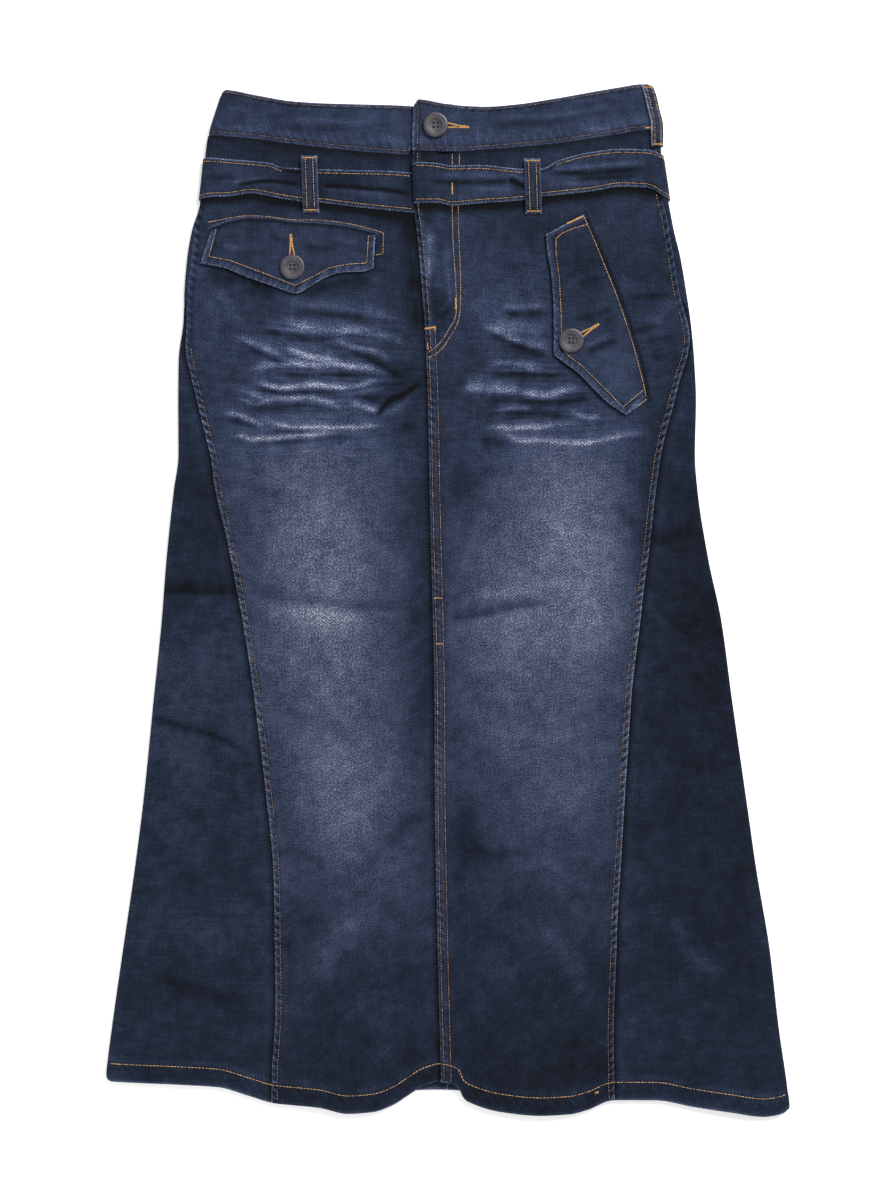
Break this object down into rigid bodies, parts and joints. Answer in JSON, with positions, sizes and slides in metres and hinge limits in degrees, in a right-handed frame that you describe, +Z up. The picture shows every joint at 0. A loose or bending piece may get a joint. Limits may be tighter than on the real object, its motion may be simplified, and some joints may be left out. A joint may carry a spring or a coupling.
{
  "type": "mermaid skirt",
  "caption": "Long washed denim skirt laid flat: front and back panels, flared side gores, buttoned waistband, loose belt under loops, two pointed pocket flaps.",
  "frame": {"origin": "on the table under the middle of the skirt's outline", "axes": "+X towards the wearer's left side, +Y towards the waist, +Z up from the table, out of the front"},
  "size_m": [0.5685, 0.8569, 0.0118],
  "materials": {
    "denim_front": "washed dark indigo stretch denim, faded down the middle of each front",
    "denim_back": "washed dark indigo stretch denim",
    "denim_gore": "dark indigo stretch denim, hardly faded",
    "denim_band": "dark indigo denim, edges worn pale",
    "denim_trim": "dark indigo denim, edges worn pale, tan topstitching",
    "button": "charcoal satin four-hole button"
  },
  "bodies": {
    "root": {"front_panel_right": "denim_front", "front_panel_left": "denim_front", "back_panel_right": "denim_back", "back_panel_left": "denim_back", "side_gore_right": "denim_gore", "side_gore_left": "denim_gore", "waistband": "denim_band", "belt": "denim_trim", "belt_loop_front_right": "denim_trim", "belt_loop_front_left": "denim_trim", "belt_loop_side_left": "denim_trim", "flap_right": "denim_trim", "flap_left": "denim_trim", "button_waist": "button", "button_flap_right": "button", "button_flap_left": "button"}
  },
  "joints": []
}
